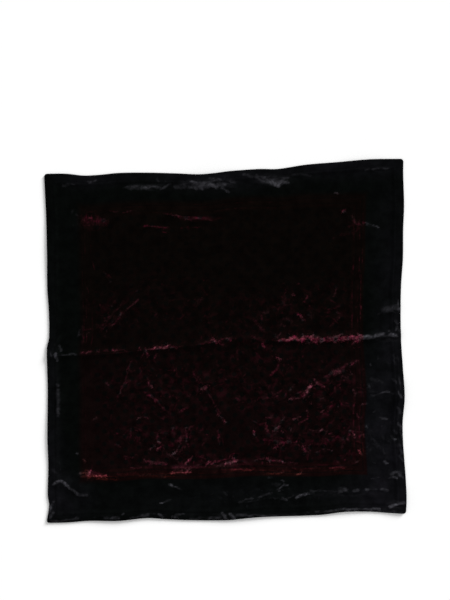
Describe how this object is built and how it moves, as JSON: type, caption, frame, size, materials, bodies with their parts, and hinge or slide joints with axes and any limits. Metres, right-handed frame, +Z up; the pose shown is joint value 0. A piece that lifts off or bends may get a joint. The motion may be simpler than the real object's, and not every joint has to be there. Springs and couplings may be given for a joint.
{
  "type": "square velvet scarf",
  "caption": "Square printed velvet scarf laid out flat, face up, with folded hems all round, a crease across the middle and a dotted burgundy field in a black border.",
  "frame": {"origin": "middle of the laid scarf's footprint, on the surface that it lies on", "axes": "+Z up, out of the face of the cloth; +Y towards the top edge; +X towards the right edge, seen from above"},
  "size_m": [0.9117, 0.9167, 0.0088],
  "materials": {
    "printed_velvet": "crushed silk velvet, near black, with a burgundy field of round black dots printed in the middle; soft sheen where the pile is bent",
    "hem_velvet": "the same black velvet turned under, with its stitching"
  },
  "bodies": {
    "root": {"velvet_square": "printed_velvet", "hem_bottom": "hem_velvet", "hem_right": "hem_velvet", "hem_top": "hem_velvet", "hem_left": "hem_velvet"}
  },
  "joints": []
}
